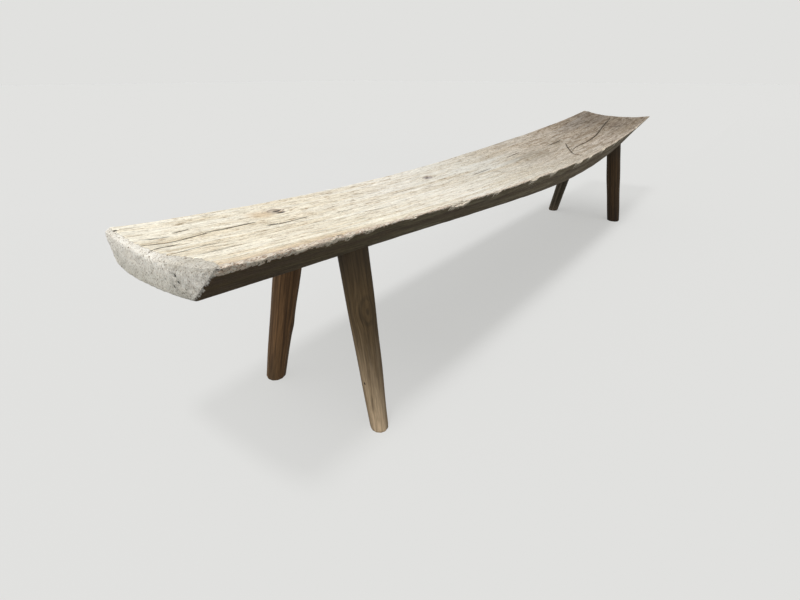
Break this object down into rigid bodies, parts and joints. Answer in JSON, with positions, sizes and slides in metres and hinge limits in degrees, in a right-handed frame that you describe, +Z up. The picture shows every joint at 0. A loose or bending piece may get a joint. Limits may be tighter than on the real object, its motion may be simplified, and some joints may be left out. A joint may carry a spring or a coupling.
{
  "type": "long bench",
  "caption": "Long backless bench hewn from one bowed, dished plank on splayed, tapered round legs, in weathered hardwood.",
  "frame": {"origin": "on the floor, under the middle of the bench", "axes": "+X along the seat towards its higher right end, -Y towards the front with the slanted edge, +Z up"},
  "size_m": [2.2017, 0.3319, 0.4405],
  "materials": {
    "seat_wood": "bare, weathered to a pale grey, open grained",
    "leg_wood": "bare, aged brown, dull",
    "wedge_wood": "bare, split hardwood"
  },
  "bodies": {
    "root": {"seat_slab": "seat_wood", "leg_front_left": "leg_wood", "leg_front_right": "leg_wood", "leg_back_left": "leg_wood", "leg_back_right": "leg_wood", "wedge_front_left": "wedge_wood", "wedge_front_right": "wedge_wood", "wedge_back_left": "wedge_wood", "wedge_back_right": "wedge_wood"}
  },
  "joints": []
}
